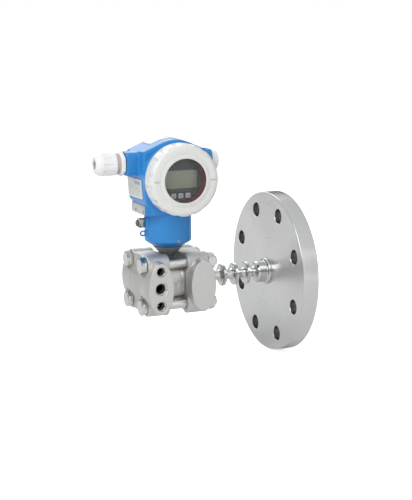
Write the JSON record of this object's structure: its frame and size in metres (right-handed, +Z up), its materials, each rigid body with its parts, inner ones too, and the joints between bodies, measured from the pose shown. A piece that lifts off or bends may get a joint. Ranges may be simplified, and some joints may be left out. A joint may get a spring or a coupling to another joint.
{
  "type": "differential pressure transmitter",
  "caption": "Differential pressure transmitter with a direct-mounted flanged diaphragm seal, a bolted measuring cell and a turning display housing with a screw cover and cable gland.",
  "frame": {"origin": "centre of the process flange's bolt circle, on its front face behind the raised one", "axes": "+X out of the sealing face along the process line, +Z up along the housing's turning axis, the display looks along -Y"},
  "size_m": [0.2489, 0.2, 0.2735],
  "materials": {
    "flange_steel": "satin",
    "turned_steel": "satin",
    "block_steel": "satin",
    "cell_steel": "satin",
    "bolt_steel": "gloss",
    "foil_steel": "gloss",
    "cone_paint": "satin",
    "blue_paint": "satin",
    "white_paint": "satin",
    "plate_metal": "satin",
    "seal_rubber": "matt",
    "packing": "matt",
    "gland_white": "satin",
    "gland_grey": "satin",
    "potting": "matt",
    "terminal_green": "satin",
    "display_grey": "matt",
    "lcd_film": "gloss",
    "key_grey": "satin",
    "ring_red": "satin",
    "window_glass": "gloss",
    "flap_pale": "gloss",
    "lead_jacket": "matt"
  },
  "bodies": {
    "cell": {"process_flange": "flange_steel", "process_diaphragm": "foil_steel", "isolator_neck": "turned_steel", "capillary_tube": "turned_steel", "plus_side_flange": "block_steel", "minus_side_flange": "block_steel", "plus_gasket": "packing", "minus_gasket": "packing", "sensor_cell": "cell_steel", "plus_diaphragm": "foil_steel", "minus_diaphragm": "foil_steel", "sensor_element": "cell_steel", "fill_plug": "bolt_steel", "tie_bolts": "bolt_steel", "tie_nuts": "bolt_steel", "minus_vent_plug": "bolt_steel", "cell_nipple": "cell_steel", "neck_cone": "cone_paint", "neck_seal": "seal_rubber", "sensor_lead": "lead_jacket"},
    "housing": {"housing_shell": "blue_paint", "nameplate": "plate_metal", "tag_plate": "plate_metal", "tag_screws": "bolt_steel", "ground_block": "turned_steel", "ground_screw": "bolt_steel", "housing_lock_screw": "bolt_steel", "gland_body": "gland_white", "gland_washer": "seal_rubber", "gland_ring": "gland_grey", "gland_nut": "gland_grey", "gland_insert": "seal_rubber", "blanking_plug": "gland_white", "blanking_seal": "seal_rubber", "electronics_insert": "potting", "terminal_block": "terminal_green", "display_body": "display_grey", "lcd_panel": "lcd_film", "flap_pin": "turned_steel"},
    "cover_carrier": {"cover_seal": "seal_rubber"},
    "cover": {"display_cover": "white_paint", "cover_glass": "window_glass", "glass_retainer": "ring_red"},
    "flap": {"key_flap": "flap_pale"},
    "display_key_1_body": {"display_key_1": "key_grey"},
    "outer_key_1_body": {"outer_key_1": "gland_grey"},
    "display_key_2_body": {"display_key_2": "key_grey"},
    "outer_key_2_body": {"outer_key_2": "gland_grey"},
    "display_key_3_body": {"display_key_3": "key_grey"},
    "outer_key_3_body": {"outer_key_3": "gland_grey"}
  },
  "joints": [
    {"name": "housing_turn", "type": "hinge", "parent": "cell", "child": "housing", "pos_m": [-0.15415, 0, 0.06], "axis": [0, 0, 1], "range_deg": [-190, 190]},
    {"name": "cover_lift", "type": "slide", "parent": "housing", "child": "cover_carrier", "axis": [0, -1, 0], "range_m": [0, 0.009]},
    {"name": "cover_turn", "type": "hinge", "parent": "cover_carrier", "child": "cover", "pos_m": [-0.15415, -0.045, 0.128], "axis": [0, -1, 0], "range_deg": [0, 1620]},
    {"name": "flap_hinge", "type": "hinge", "parent": "housing", "child": "flap", "pos_m": [-0.12815, 0.006, 0.16479], "axis": [0, 1, 0], "range_deg": [0, 105]},
    {"name": "display_key_1_press", "type": "slide", "parent": "housing", "child": "display_key_1_body", "axis": [0, 1, 0], "range_m": [0, 0.0008], "stiffness_N_per_m": 400},
    {"name": "display_key_2_press", "type": "slide", "parent": "housing", "child": "display_key_2_body", "axis": [0, 1, 0], "range_m": [0, 0.0008], "stiffness_N_per_m": 400},
    {"name": "display_key_3_press", "type": "slide", "parent": "housing", "child": "display_key_3_body", "axis": [0, 1, 0], "range_m": [0, 0.0008], "stiffness_N_per_m": 400},
    {"name": "outer_key_1_press", "type": "slide", "parent": "housing", "child": "outer_key_1_body", "axis": [0.2756, 0, -0.9613], "range_m": [0, 0.0012], "stiffness_N_per_m": 400},
    {"name": "outer_key_2_press", "type": "slide", "parent": "housing", "child": "outer_key_2_body", "axis": [0, 0, -1], "range_m": [0, 0.0012], "stiffness_N_per_m": 400},
    {"name": "outer_key_3_press", "type": "slide", "parent": "housing", "child": "outer_key_3_body", "axis": [-0.2756, 0, -0.9613], "range_m": [0, 0.0012], "stiffness_N_per_m": 400}
  ],
  "couplings": [
    {"joint": "cover_lift", "follows": "cover_turn", "m_per_rad": 0.00031831}
  ]
}
